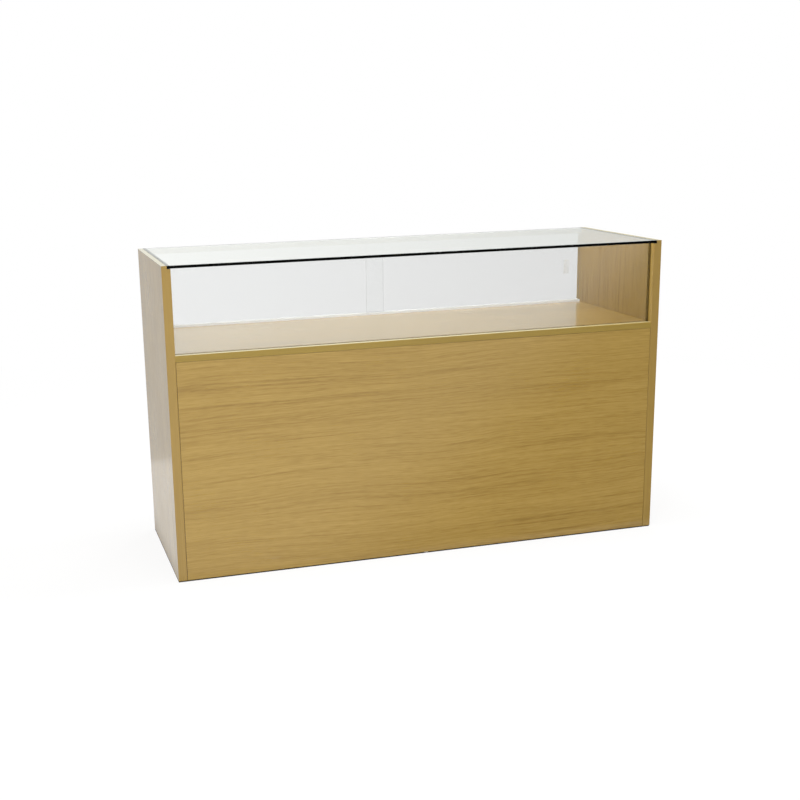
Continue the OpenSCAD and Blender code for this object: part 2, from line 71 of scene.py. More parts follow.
looking = Vector(
    (
        math.sin(CAMERA_AZIMUTH) * math.cos(CAMERA_ELEVATION),
        math.cos(CAMERA_AZIMUTH) * math.cos(CAMERA_ELEVATION),
        -math.sin(CAMERA_ELEVATION),
    )
)
level_right = Vector((math.cos(CAMERA_AZIMUTH), -math.sin(CAMERA_AZIMUTH), 0.0))
level_up = level_right.cross(looking)
right = level_right * math.cos(CAMERA_ROLL) + level_up * math.sin(CAMERA_ROLL)
up = level_up * math.cos(CAMERA_ROLL) - level_right * math.sin(CAMERA_ROLL)

camera_data = bpy.data.cameras.new("camera")
camera_data.sensor_width = SENSOR_MM
camera_data.lens = FOCAL_PIXELS * SENSOR_MM / IMAGE_PIXELS
camera_data.shift_x = 0.5 - LENS_AXIS_PIXEL[0] / IMAGE_PIXELS
camera_data.shift_y = LENS_AXIS_PIXEL[1] / IMAGE_PIXELS - 0.5
camera = bpy.data.objects.new("camera", camera_data)
bpy.context.scene.collection.objects.link(camera)
turn = Matrix((right, up, -looking)).transposed().to_4x4()
camera.matrix_world = Matrix.Translation(CAMERA_PLACE) @ turn
bpy.context.scene.camera = camera
shift = (round(camera_data.shift_x, 4), round(camera_data.shift_y, 4))
print("lens:", round(camera_data.lens, 2), "mm, shift:", *shift)

# %% [markdown]
# A material in Blender is a graph of nodes. Written out link by link it is hard
# to read, so two small classes turn it into arithmetic. The first is a Wire. It
# holds one socket, and adding, multiplying or comparing wires adds Math nodes, so
# that a mask is written as plainly as z < 0.1. Its ramp is a Map Range node.

# %% Wires
class Wire:
    """One socket of a finish. Arithmetic on wires adds Math nodes."""

    def __init__(self, finish, socket):
        self.finish = finish
        self.socket = socket

    def maths(self, operation, *values):
        return self.finish.add("ShaderNodeMath", {"operation": operation}, dict(enumerate(values)))

    def __add__(self, other):
        return self.maths("ADD", self, other)

    __radd__ = __add__

    def __sub__(self, other):
        return self.maths("SUBTRACT", self, other)

    def __rsub__(self, other):
        return self.maths("SUBTRACT", other, self)

    def __mul__(self, other):
        return self.maths("MULTIPLY", self, other)

    __rmul__ = __mul__

    def __pow__(self, power):
        return self.maths("POWER", self, power)

    def __abs__(self):
        return self.maths("ABSOLUTE", self)

    def __gt__(self, other):
        return self.maths("GREATER_THAN", self, other)

    def __lt__(self, other):
        return self.maths("LESS_THAN", self, other)

    def or_less(self, other):
        return self.maths("MINIMUM", self, other)

    def or_more(self, other):
        return self.maths("MAXIMUM", self, other)

    def ramp(self, start, end):
        """0 below start, 1 above end and a smooth rise between them."""
        sockets = {"Value": self, "From Min": start, "From Max": end}
        return self.finish.add("ShaderNodeMapRange", {"interpolation_type": "SMOOTHSTEP"}, sockets)


print("a wire turns arithmetic into Math nodes")

# %% [markdown]
# The second class is a Finish, which is one material. Its add method makes any
# node from its type, its settings and the values of its sockets, and the other
# methods only name the mixes that are used often. The Mix node has more than one
# pair of inputs called A and B, so its colour sockets are found by their number.
#
# Nearly every finish below is made of noise, whose values lie around 0.5 and
# seldom leave 0.25 to 0.75. Taking 0.5 away makes it swing to both sides, and a
# ramp that starts above 0.5 keeps only its highest spots.

# %% Finishes
COLOUR_A = 6
COLOUR_B = 7
COLOUR_RESULT = 2


class Finish:
    """One material while it is being made."""

    def __init__(self, name):
        self.material = bpy.data.materials.new(name)
        self.material.use_nodes = True
        self.tree = self.material.node_tree
        self.tree.nodes.clear()

    def add(self, kind, settings=None, sockets=None, output=0):
        """Any node, from its type, settings and sockets, as a wire from one output."""
        node = self.tree.nodes.new(kind)
        for name, value in (settings or {}).items():
            setattr(node, name, value)
        for name, value in (sockets or {}).items():
            if isinstance(value, Wire):
                self.tree.links.new(value.socket, node.inputs[name])
            else:
                node.inputs[name].default_value = value
        return Wire(self, node.outputs[output]) if node.outputs else None

    def place(self):
        """The object's own coordinates, as three wires."""
        at = self.add("ShaderNodeTexCoord", output="Object")
        split = self.add("ShaderNodeSeparateXYZ", sockets={"Vector": at})
        return [Wire(self, socket) for socket in split.socket.node.outputs]

    def vector(self, x, y, z):
        return self.add("ShaderNodeCombineXYZ", sockets={"X": x, "Y": y, "Z": z})

    def noise(self, x, y, z, detail=2.0, roughness=0.5):
        sockets = {"Vector": self.vector(x, y, z), "Scale": 1.0, "Detail": detail, "Roughness": roughness}
        return self.add("ShaderNodeTexNoise", sockets=sockets)

    def noise_at(self, at, per_metre, detail=2.0):
        """Noise with so many waves per metre: one number, or one for each direction."""
        each = per_metre if isinstance(per_metre, tuple) else (per_metre,) * 3
        return self.noise(*(wire * waves for wire, waves in zip(at, each)), detail=detail)

    def cells(self, at, per_metre, output):
        sockets = {"Vector": self.vector(*at), "Scale": per_metre}
        return self.add("ShaderNodeTexVoronoi", sockets=sockets, output=output)

    def colours(self, share, first, second):
        """Share of the second colour over the first."""
        sockets = {0: share, COLOUR_A: first, COLOUR_B: second}
        return self.add("ShaderNodeMix", {"data_type": "RGBA"}, sockets, COLOUR_RESULT)

    def shaders(self, share, first, second):
        """Share of the second shader over the first."""
        return self.add("ShaderNodeMixShader", sockets={0: share, 1: first, 2: second})

    def bump(self, height, distance, strength):
        sockets = {"Height": height, "Distance": distance, "Strength": strength}
        return self.add("ShaderNodeBump", sockets=sockets)

    def principled(self, **sockets):
        named = {name.replace("_", " "): value for name, value in sockets.items()}
        return self.add("ShaderNodeBsdfPrincipled", sockets=named)

    def done(self, surface):
        self.add("ShaderNodeOutputMaterial", sockets={"Surface": surface})
        return self.material


def rgb(red, green, blue):
    return (red, green, blue, 1.0)


WHITE = rgb(1.0, 1.0, 1.0)
BLACK = rgb(0.0, 0.0, 0.0)
dressed = []


def dress(node, material):
    """Puts a finish on a frame node, in place of the one that it came with."""
    mesh = nodes[node].data
    if mesh.materials:
        mesh.materials[0] = material
    else:
        mesh.materials.append(material)
    dressed.append(node)


print("finishes that the frame came with:", len(bpy.data.materials))

# %% [markdown]
# The floor, the world and the glass each look one way to the camera, another in a
# mirror and a third to the light itself. The Light Path node tells what kind of
# ray has met a surface, and these kinds of sight come back as two masks. A ray
# that real glass lets through counts as gloss as well, so that one is taken out.

# %% Kinds of sight
def kinds_of_sight(finish):
    """1 for what the camera or a glass sees, and 1 for what a gloss mirrors."""
    paths = finish.add("ShaderNodeLightPath").socket.node.outputs
    camera_ray, glass_ray, gloss_ray = (
        Wire(finish, paths[name]) for name in ("Is Camera Ray", "Is Transmission Ray", "Is Glossy Ray")
    )
    return camera_ray.or_more(glass_ray), gloss_ray * (1.0 - glass_ray)


print("kinds of sight: seen and mirrored")

# %% [markdown]
# The counter stands on a plain white floor. A floor lit by lamps alone would fade to grey behind it, so
# what the camera sees of it is partly its own white and partly the lit surface, which keeps the counter's
# shadow. Light that bounces off the floor on its way to the counter meets the plain lit surface. Gloss
# mirrors the floor of a real studio: nearly white beside the counter and a little shaded close to its
# sides, greyer far behind it, and in front of it bright at the left, where the light comes from, with a
# slanting fall into the dark right half. Under the counter the floor is painted dark, as painted shade.

# %% Floor
FLOOR_HALF = 20.0
FLOOR_COLOUR = rgb(0.81, 0.81, 0.805)
FLOOR_SHADE = rgb(0.84, 0.84, 0.835)
FLOOR_PATCHES = (0.7, 0.7, 0.0)
UNDER_COUNTER_PAINTED_SHADE = rgb(0.04, 0.035, 0.03)
OWN_WHITE = 0.85
SHADOW_ZONE = (1.6, 3.4)
FRONT_BEGINS = -0.3
FRONT_SLANT = 0.7
FRONT_FADE = (-0.80, 0.00)
BACK_FADE = (1.00, 1.14)
BACK_DIMNESS = 0.30
BESIDE_FADE = (0.2, 0.9)
BESIDE_DIMNESS = 0.06
CONTACT_WIDTH = 0.03
CONTACT_DIMNESS = 0.30


def mirrored_floor(x, y):
    """How bright a gloss mirrors the floor, from 0 to 1."""
    in_front = y < FRONT_BEGINS
    front = 1.0 - in_front * (x + FRONT_SLANT * y).ramp(*FRONT_FADE)
    close = CONTACT_DIMNESS * (1.0 - (abs(x) - frame_high.x).ramp(0.0, CONTACT_WIDTH))
    beside = 1.0 - (1.0 - in_front) * (BESIDE_DIMNESS * (1.0 - y.ramp(*BESIDE_FADE)) + close)
    return front * beside * (1.0 - BACK_DIMNESS * y.ramp(*BACK_FADE))


def floor_finish():
    f = Finish("white_floor")
    x, y, z = at = f.place()
    seen, mirrored = kinds_of_sight(f)
    open_floor = (abs(x) > frame_high.x).or_more(abs(y) > frame_high.y)
    pale = f.colours(f.noise_at(at, FLOOR_PATCHES), FLOOR_COLOUR, FLOOR_SHADE)
    # Under the counter the floor's colour is painted shade.
    lit = f.principled(Base_Color=f.colours(open_floor, UNDER_COUNTER_PAINTED_SHADE, pale), Roughness=0.9)
    white = f.add("ShaderNodeEmission", sockets={"Color": WHITE, "Strength": 1.0})
    grey = f.colours(mirrored_floor(x, y), BLACK, WHITE)
    mirror_white = f.add("ShaderNodeEmission", sockets={"Color": grey, "Strength": 1.0})
    far = (x * x + y * y).ramp(SHADOW_ZONE[0] ** 2, SHADOW_ZONE[1] ** 2)
    own = OWN_WHITE + (1.0 - OWN_WHITE) * far
    looked_at = f.shaders(seen * own * open_floor, lit, white)
    return f.done(f.shaders(mirrored, looked_at, mirror_white))


floor_mesh = bmesh.new()
bmesh.ops.create_grid(floor_mesh, x_segments=1, y_segments=1, size=FLOOR_HALF)
floor_data = bpy.data.meshes.new("floor")
floor_mesh.to_mesh(floor_data)
floor_mesh.free()
floor_data.materials.append(floor_finish())
floor = bpy.data.objects.new("floor", floor_data)
bpy.context.scene.collection.objects.link(floor)
print("floor:", 2 * FLOOR_HALF, "m square")

# %% [markdown]
# The light is that of a plain studio. A white world gives even light from all
# sides and is seen at full white by the camera. Mirrors show a room in its place:
# a white wall behind the counter, brightest at its left, and in front of it a
# white ceiling that darkens towards the horizon. A world is a graph of nodes too,
# so it is written in the same way as a finish.

# %% World
WORLD_LIGHT = 0.34
ROOM_FRONT = 0.12
ROOM_BACK = 1.04
ROOM_TINT = rgb(0.98, 1.0, 0.97)
ROOM_FALL_TO_RIGHT = 0.70
WALL_FROM = (-0.25, 0.25)
CEILING_FROM = (0.00, 0.08)


class WorldFinish(Finish):
    """The world's nodes while they are being made."""

    def __init__(self, tree):
        self.tree = tree
        self.tree.nodes.clear()

    def background(self, colour, strength):
        return self.add("ShaderNodeBackground", sockets={"Color": colour, "Strength": strength})


def world_finish(tree):
    w = WorldFinish(tree)
    seen, mirrored = kinds_of_sight(w)
    direction = w.add("ShaderNodeTexCoord", output="Generated")
    split = w.add("ShaderNodeSeparateXYZ", sockets={"Vector": direction}).socket.node.outputs
    to_right, to_back, to_top = (Wire(w, split[name]) for name in ("X", "Y", "Z"))
    bright = to_back.ramp(*WALL_FROM).or_more(to_top.ramp(*CEILING_FROM))
    front_to_back = ROOM_FRONT + (1.0 - ROOM_FRONT) * bright
    room = front_to_back * (1.0 - ROOM_FALL_TO_RIGHT * to_right.or_more(0.0))
    grey = w.colours(room, BLACK, ROOM_TINT)
    unseen = w.shaders(mirrored, w.background(WHITE, WORLD_LIGHT), w.background(grey, ROOM_BACK))
    surface = w.shaders(seen, unseen, w.background(WHITE, 1.0))
    w.add("ShaderNodeOutputWorld", sockets={"Surface": surface})


world = bpy.data.worlds.new("studio")
world.use_nodes = True
world_finish(world.node_tree)
bpy.context.scene.world = world
print("world:", len(world.node_tree.nodes), "nodes")

# %% [markdown]
# A broad soft sun keeps the floor evenly lit. One softbox near the left end makes
# the front panel fall off gently from left to right, one above the counter fills
# the display case through its glass top, as shop lights do, and one behind it
# lights the staff side. They can't be seen by the camera, in a mirror or through
# glass, so that other views stay clean.

# %% Lamps
SUN_STRENGTH = 2.25
SUN_SPREAD = math.radians(50.0)
SUN_TURN = (math.radians(13.0), math.radians(3.0), math.radians(-24.0))
AIM = Vector((0.0, 0.0, 0.5))
SOFTBOXES = {
    "left_softbox": {"at": (-1.5, -2.4, 1.3), "size": 0.9, "watts": 22.0},
    "case_softbox": {"at": (0.20, 0.0, 1.9), "size": 0.7, "watts": 23.0},
    "staff_softbox": {"at": (1.3, 2.4, 1.2), "size": 1.2, "watts": 34.0},
}


def add_lamp(name, kind):
    data = bpy.data.lights.new(name, kind)
    lamp = bpy.data.objects.new(name, data)
    bpy.context.scene.collection.objects.link(lamp)
    lamp.visible_camera = False
    lamp.visible_glossy = False
    lamp.visible_transmission = False
    return lamp


def add_softbox(name, at, size, watts):
    lamp = add_lamp(name, "AREA")
    lamp.data.shape = "SQUARE"
    lamp.data.size = size
    lamp.data.energy = watts
    lamp.location = at
    lamp.rotation_euler = (AIM - Vector(at)).to_track_quat("-Z", "Y").to_euler()


sun = add_lamp("soft_sun", "SUN")
sun.data.energy = SUN_STRENGTH
sun.data.angle = SUN_SPREAD
sun.rotation_euler = SUN_TURN
for name, settings in SOFTBOXES.items():
    add_softbox(name, **settings)
print("lamps:", len(bpy.data.lights))

# %% [markdown]
# A board of laminated chipboard has a thin printed skin on its two faces and a
# pressed core between them. The core shows wherever something cuts into the
# board: in the walls of a bore, in a groove and along an unbanded edge. One mask
# tells the two apart, from how deep a point lies under the nearest face. The same
# mask later tells the polished edges of a glass pane from its faces. The grain
# runs along one axis, and the sum of the other two tells where a point lies across
# it, so the lines go on over the corner from one face to the next.

# %% Faces and grain
AXES = "xyz"


def depth_under_faces(finish, node, axis):
    """How far a point lies below the nearer face of a flat piece, in metres."""
    low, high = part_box(node)
    n = AXES.index(axis)
    at = finish.place()[n]
    return (at - low[n]).or_less(high[n] - at)


def along_and_across(at, grain):
    """A place along the grain and across it."""
    others = [wire for axis, wire in zip(AXES, at) if axis != grain]
    return at[AXES.index(grain)], others[0] + others[1]


print("axes of faces and grain:", ", ".join(AXES))

# %% [markdown]
# The oak is a decor: a photograph of veneer printed on melamine paper. What makes
# it look like oak is how its lines lie over each other. Slow waves and ripples
# bend everything, broad bands and growth rings follow the bent direction, and
# lines, fibres and pores run along it. Each is a noise that is stretched along the
# grain by a different amount, given as waves per metre along and across. The
# function takes the direction along the grain and the one across it, so that one
# decor serves level and upright boards.

# %% Oak decor
OAK_LIGHT = rgb(0.428, 0.284, 0.075)
OAK_MIDDLE = rgb(0.356, 0.228, 0.053)
OAK_DARK = rgb(0.262, 0.156, 0.033)
PORE_DARK = rgb(0.205, 0.118, 0.027)
SLOW_WAVES = (0.9, 2.4)
SLOW_BEND = 0.10
RIPPLES = (3.2, 9.0)
RIPPLE_BEND = 0.014
BROAD_BANDS = (0.5, 12.0)
BAND_WEIGHT = 0.42
GROWTH_RINGS = (1.3, 62.0)
RING_WEIGHT = 0.32
FINE_LINES = (3.6, 155.0)
LINE_WEIGHT = 1.45
FIBRES = (24.0, 330.0)
FIBRE_WEIGHT = 0.95
PORES = (30.0, 1600.0)


def oak_decor(f, along, across, seed, depth, contrast):
    """Colour, fibres and pores of the printed oak."""
    slow = f.noise(along * SLOW_WAVES[0] + seed, across * SLOW_WAVES[1], seed, detail=1.0)
    ripple = f.noise(along * RIPPLES[0], across * RIPPLES[1] + seed, seed, detail=1.0)
    bent = across + (slow - 0.5) * SLOW_BEND + (ripple - 0.5) * RIPPLE_BEND

    def layer(number, waves, detail=1.0, roughness=0.5):
        return f.noise(along * waves[0], bent * waves[1], seed + number, detail, roughness)

    bands = layer(1, BROAD_BANDS)
    rings = layer(2, GROWTH_RINGS, detail=2.0, roughness=0.6).ramp(0.54, 0.72)
    lines = layer(3, FINE_LINES, detail=2.0, roughness=0.65)
    fibres = layer(4, FIBRES)
    pores = layer(5, PORES, detail=0.0).ramp(0.62, 0.74)
    streaks = RING_WEIGHT * rings + LINE_WEIGHT * (lines - 0.5) + FIBRE_WEIGHT * (fibres - 0.5)
    tone = depth + BAND_WEIGHT * (bands - 0.5) + contrast * streaks
    pale = f.colours(tone.ramp(-0.10, 0.62), OAK_LIGHT, OAK_MIDDLE)
    wood = f.colours(tone.ramp(0.40, 1.15), pale, OAK_DARK)
    return f.colours(pores * (0.25 + 0.35 * rings), wood, PORE_DARK), fibres, pores


print("oak decor: seven noises, from", SLOW_WAVES[1], "to", PORES[1], "waves per metre across")

# %% [markdown]
# The core is made of pressed chips in several browns, which Voronoi cells give
# well enough for what shows in a bore 5 mm wide.

# %% Chipboard core
CHIP_PALE = rgb(0.46, 0.33, 0.20)
CHIP_BROWN = rgb(0.20, 0.12, 0.06)
CHIPS_PER_METRE = 650.0


def chipboard(f, at):
    shade = f.add("ShaderNodeSeparateColor", sockets={"Color": f.cells(at, CHIPS_PER_METRE, "Color")})
    return f.colours(shade, CHIP_PALE, CHIP_BROWN)


print("a chip is about", round(1000 / CHIPS_PER_METRE, 1), "mm long")

# %% [markdown]
# Melamine has a clear overlay over the print: a second smooth layer that mirrors the surroundings at low
# angles, which is why the display floor looks pale from the customer's side. The coat stands for it.
# Fingers and cleaning leave broad smears that only change the gloss, and shoes leave faint grey marks near
# the floor. The narrow ledge in front of the glass is duller from years of wiping, and its paler colour is
# a painted highlight for the light that the ledge catches. The side panels and the divider have an upright
# grain, and the other boards a level one. No two boards are quite alike: each has its own seed, and can
# have its own gloss, overlay, depth of tone and contrast of streaks. The right side panel's paler tone is
# painted light, standing for light that its inner face gets too little of.

# %% Oak laminate
SKIN = 0.0004
OVERLAY = 1.5
HARD_OVERLAY = 1.9
SMEARS = 5.0
SCUFFS = (9.0, 9.0, 60.0)
SCUFF_GREY = rgb(0.30, 0.25, 0.19)
SCUFF_SHARE = 0.20
SCUFF_TOP = 0.12
LEDGE_PAINTED_HIGHLIGHT = rgb(0.52, 0.44, 0.22)
LEDGE_WEAR = 0.3
PORE_RELIEF = 0.00012
SEED_STEP = 3.7


def laminate_finish(node, seed, thickness="x", gloss=0.55, overlay=OVERLAY, depth=0.44, contrast=1.0):
    f = Finish("oak_laminate_" + node)
    x, y, z = at = f.place()
    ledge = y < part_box("front_glass")[0].y if node == "display_floor" else 0.0
    along, across = along_and_across(at, "z" if thickness == "x" else "x")
    wood, fibres, pores = oak_decor(f, along, across, seed, depth, contrast)
    core = depth_under_faces(f, node, thickness) > SKIN
    scuffs = f.noise_at(at, SCUFFS, detail=3.0).ramp(0.60, 0.80)
    low_down = 1.0 - z.ramp(0.0, SCUFF_TOP)
    printed = f.colours(scuffs * low_down * SCUFF_SHARE, wood, SCUFF_GREY)
    smears = f.noise_at(at, SMEARS, detail=3.0)
    # The ledge's paler colour is a painted highlight.
    skin = f.colours(ledge, printed, LEDGE_PAINTED_HIGHLIGHT)
    surface = f.principled(
        Base_Color=f.colours(core, skin, chipboard(f, at)),
        Roughness=0.30 + 0.10 * (smears - 0.5) + 0.10 * (fibres - 0.5) + 0.45 * core,
        Specular_IOR_Level=0.25,
        Coat_Weight=gloss * (1.0 - core) * (1.0 - LEDGE_WEAR * ledge),
        Coat_Roughness=0.10,
        Coat_IOR=overlay,
        Normal=f.bump(0.3 * fibres - pores, PORE_RELIEF, 0.35),
    )
    return f.done(surface)


BOARDS = {
    "side_panel_left": {},
    # The right side panel's paler tone is painted light, for light that its inner face gets too little of.
    "side_panel_right": {"gloss": 0.30, "depth": 0.10, "contrast": 1.4},
    "front_panel": {"thickness": "y", "gloss": 0.62, "contrast": 0.88},
    "display_floor": {"thickness": "z", "gloss": 1.0, "overlay": HARD_OVERLAY, "contrast": 1.6},
    "bottom_panel": {"thickness": "z"},
    "centre_divider": {"depth": 0.48},
    "plinth_rail": {"thickness": "y", "depth": 0.48},
    "shelf_left": {"thickness": "z", "depth": 0.40},
    "shelf_right": {"thickness": "z"},
}
for number, (node, settings) in enumerate(BOARDS.items(), start=1):
    dress(node, laminate_finish(node, SEED_STEP * number, **settings))
print("boards:", len(BOARDS))

# %% [markdown]
# The edges that show are covered with a 1 mm plastic band, ironed on and trimmed.
# It is coloured through and printed with fine streaks along its length. The level bands are a touch darker
# than the boards. The bands on top of the lips are greyer and paler: a painted sheen, for the cream-white
# shine that their tops catch at a low angle. The right one has lost some gloss. A band has no core, so one
# function makes them all from two tones.

# %% Edge bands
BAND_UPRIGHT = (rgb(0.375, 0.245, 0.056), rgb(0.285, 0.175, 0.036))
BAND_LEVEL = (rgb(0.345, 0.238, 0.046), rgb(0.262, 0.172, 0.030))
# The lip tones are greyer and paler as a painted sheen.
BAND_LIP_PAINTED_SHEEN = (rgb(0.32, 0.27, 0.105), rgb(0.27, 0.22, 0.080))
BAND_STREAKS = (2.2, 260.0)
BAND_CLOUDS = (3.0, 12.0)
BAND_RELIEF = 0.00006


def band_finish(name, grain, tones, gloss, blur):
    f = Finish(name)
    along, across = along_and_across(f.place(), grain)
    streaks = f.noise(along * BAND_STREAKS[0], across * BAND_STREAKS[1], 0.0)
    clouds = f.noise(along * BAND_CLOUDS[0], across * BAND_CLOUDS[1], 5.0, detail=1.0)
    surface = f.principled(
        Base_Color=f.colours(0.75 * streaks + 0.45 * clouds - 0.10, *tones),
        Roughness=0.34 + 0.12 * (streaks - 0.5),
        Specular_IOR_Level=0.25,
        Coat_Weight=gloss,
        Coat_Roughness=blur,
        Normal=f.bump(streaks, BAND_RELIEF, 0.3),
    )
    return f.done(surface)


upright_band = band_finish("edge_band_upright", "z", BAND_UPRIGHT, gloss=0.8, blur=0.22)
level_band = band_finish("edge_band_level", "x", BAND_LEVEL, gloss=0.45, blur=0.22)
lip_band = band_finish("edge_band_lip", "y", BAND_LIP_PAINTED_SHEEN, gloss=1.0, blur=0.10)
worn_lip_band = band_finish("edge_band_worn_lip", "y", BAND_LIP_PAINTED_SHEEN, gloss=0.65, blur=0.16)
BANDS = {
    "front_edge_band_left": upright_band,
    "front_edge_band_right": upright_band,
    "back_edge_band_left": upright_band,
    "back_edge_band_right": upright_band,
    "divider_edge_band": upright_band,
    "floor_edge_bands": level_band,
    "bottom_edge_band": level_band,
    "shelf_edge_band_left": level_band,
    "shelf_edge_band_right": level_band,
    "lip_band_left": lip_band,
    "lip_band_right": worn_lip_band,
}
for node, band in BANDS.items():
    dress(node, band)
print("bands:", len(BANDS))

# %% [markdown]
# A pane of clear glass mirrors about a twenty-fifth of the light that meets it
# head on, and much more at a low angle. So each face is a mix of a clear shader
# and a mirror, whose share rises with the facing angle to the fifth power. Real
# refraction would stop the lamps' light from reaching the case, and shifts the
# view through an upright pane by only a few millimetres. The polished edges are
# dark: light that enters there is lost inside the pane. A thin film of dust and
# slanting wiping marks keeps the faces from being perfect.

# %% Glass
MIRROR_HEAD_ON = 0.04
FACING_POWER = 5.0
GLASS_BLUR = 0.004
WIPES = (2.5, 3.0, 5.0)
WIPE_SLANT = (3.0, 2.0)
WIPE_BLUR = 0.006
DUST = rgb(0.80, 0.81, 0.80)
DUST_SHARE = 0.005
EDGE_DEPTH = 0.0002
EDGE_RIPPLE = (60.0, 60.0, 300.0)
EDGE_PALER = 2.0


def clear_body(f, tint):
    return f.add("ShaderNodeBsdfTransparent", sockets={"Color": tint})


def glass_body(f, clear, head_on=MIRROR_HEAD_ON):
    """A clear face with its mirror, dust and wiping marks."""
    x, y, z = f.place()
    facing = f.add("ShaderNodeLayerWeight", sockets={"Blend": 0.5}, output="Facing")
    seen, mirrored = kinds_of_sight(f)
    mirror = seen.or_more(mirrored) * (head_on + (1.0 - head_on) * facing**FACING_POWER)
    wiped = f.noise(x * WIPES[0] + z * WIPE_SLANT[0], y * WIPES[1] + z * WIPE_SLANT[1], z * WIPES[2])
    gloss = {"Color": WHITE, "Roughness": GLASS_BLUR + WIPE_BLUR * wiped}
    shine = f.add("ShaderNodeBsdfGlossy", sockets=gloss)
    dust = f.principled(Base_Color=DUST, Roughness=0.8)
    film = DUST_SHARE * (0.4 + 1.2 * wiped)
    return f.shaders(film, f.shaders(mirror, clear, shine), dust)


def edge_body(f, colour, shine):
    """A polished edge, which swallows nearly all light."""
    ripple = f.noise_at(f.place(), EDGE_RIPPLE, detail=1.0)
    paler = rgb(*(EDGE_PALER * channel for channel in colour[:3]))
    return f.principled(
        Base_Color=f.colours(ripple, colour, paler),
        Roughness=0.12 + 0.10 * ripple,
        Specular_IOR_Level=shine,
    )


def is_edge(f, node, thickness):
    return depth_under_faces(f, node, thickness) > EDGE_DEPTH


print("glass mirrors", MIRROR_HEAD_ON, "of the light that meets it head on")

# %% [markdown]
# The front glass stands in grooves of the boards. Where it enters them, painted shade shows as a fine dark
# line along its foot and at its right end. It is painted on the glass itself, by how close a point lies to
# the board. What is seen through the pane falls off a little to the right, so a second, deeper tint comes
# in there as painted shade.

# %% Front glass
PANE_TINT = rgb(0.928, 0.931, 0.930)
PANE_PAINTED_SHADE_RIGHT = rgb(0.820, 0.820, 0.818)
PAINTED_SHADE_FALL = (-1.2, 1.4)
EDGE_GREEN = rgb(0.010, 0.040, 0.030)
GROOVE_SHADE = rgb(0.100, 0.066, 0.015)
FOOT_SHADE_HEIGHT = 0.0022
FOOT_SHADE_SHARE = 0.14
END_SHADE_WIDTH = 0.0045
END_SHADE_SHARE = 0.70


def front_glass_finish():
    f = Finish("clear_glass_front")
    x, y, z = f.place()
    # The deeper tint towards the right end is painted shade, for light that falls off there.
    clear = f.shaders(x.ramp(*PAINTED_SHADE_FALL), clear_body(f, PANE_TINT), clear_body(f, PANE_PAINTED_SHADE_RIGHT))
    pane = f.shaders(is_edge(f, "front_glass", "y"), glass_body(f, clear), edge_body(f, EDGE_GREEN, 0.5))
    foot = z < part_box("display_floor")[1].z + FOOT_SHADE_HEIGHT
    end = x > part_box("front_panel")[1].x - END_SHADE_WIDTH
    # Painted shade where the pane enters its grooves, in a dark colour.
    painted_groove_shade = (foot * FOOT_SHADE_SHARE).or_more(end * END_SHADE_SHARE)
    return f.done(f.shaders(painted_groove_shade, pane, edge_body(f, GROOVE_SHADE, 0.1)))


dress("front_glass", front_glass_finish())
print("front glass: painted_shade_lines of", 1000 * FOOT_SHADE_HEIGHT, "and", 1000 * END_SHADE_WIDTH, "mm")

# %% [markdown]
# The top glass is 8 mm thick and is seen at a very low angle, where the path
# through it matters: without refraction its far edge and the foam under it would
# show in the wrong place. So it is real glass for what the camera sees, and the
# plain clear body for light. Its front edge looks black.

# %% Top glass
GLASS_IOR = 1.5
TOP_TINT = rgb(0.990, 0.993, 0.992)
EDGE_BLACK = rgb(0.0006, 0.0008, 0.0007)


def top_glass_finish():
    f = Finish("clear_glass_top")
    seen, mirrored = kinds_of_sight(f)
    thick = f.add("ShaderNodeBsdfGlass", sockets={"Color": TOP_TINT, "Roughness": 0.0, "IOR": GLASS_IOR})
    body = f.shaders(seen, glass_body(f, clear_body(f, TOP_TINT)), thick)
    return f.done(f.shaders(is_edge(f, "top_glass", "z"), body, edge_body(f, EDGE_BLACK, 0.05)))


dress("top_glass", top_glass_finish())
print("top glass: refracted with an index of", GLASS_IOR)

# %% [markdown]
# Each door pane has a finger grip: a shallow scoop that a grinding wheel cuts
# into its staff side near the outer end. The ground surface is frosted, because
# its fine scratches scatter light. The scoop lies deeper than the pane's face, so
# the edge mask would take it for an edge: a box round it tells it apart. The staff
# side mirrors the room like any other glass. What a door mirrors back into the case
# is kept faint, whether on its inner face or, from inside the pane, on its outer
# one: Backfacing is 1 where a ray meets a face from inside.

# %% Door panes
GRIP_IN = 0.038
GRIP_WIDTH = 0.018
GRIP_HALF_HEIGHT = 0.026
GRIP_MARGIN = 0.0002
GRIP_SCRATCHES = (40.0, 900.0, 1400.0)
GRIP_RELIEF = 0.00005
FROST = rgb(0.84, 0.86, 0.85)
FROST_SHARE = 0.25
DOOR_TINT = rgb(0.996, 0.998, 0.997)
INNER_MIRROR = 0.002
STAFF_MIRROR = 0.040
DOOR_EDGE = rgb(0.36, 0.41, 0.39)
DOOR_EDGE_SHARE = 0.16


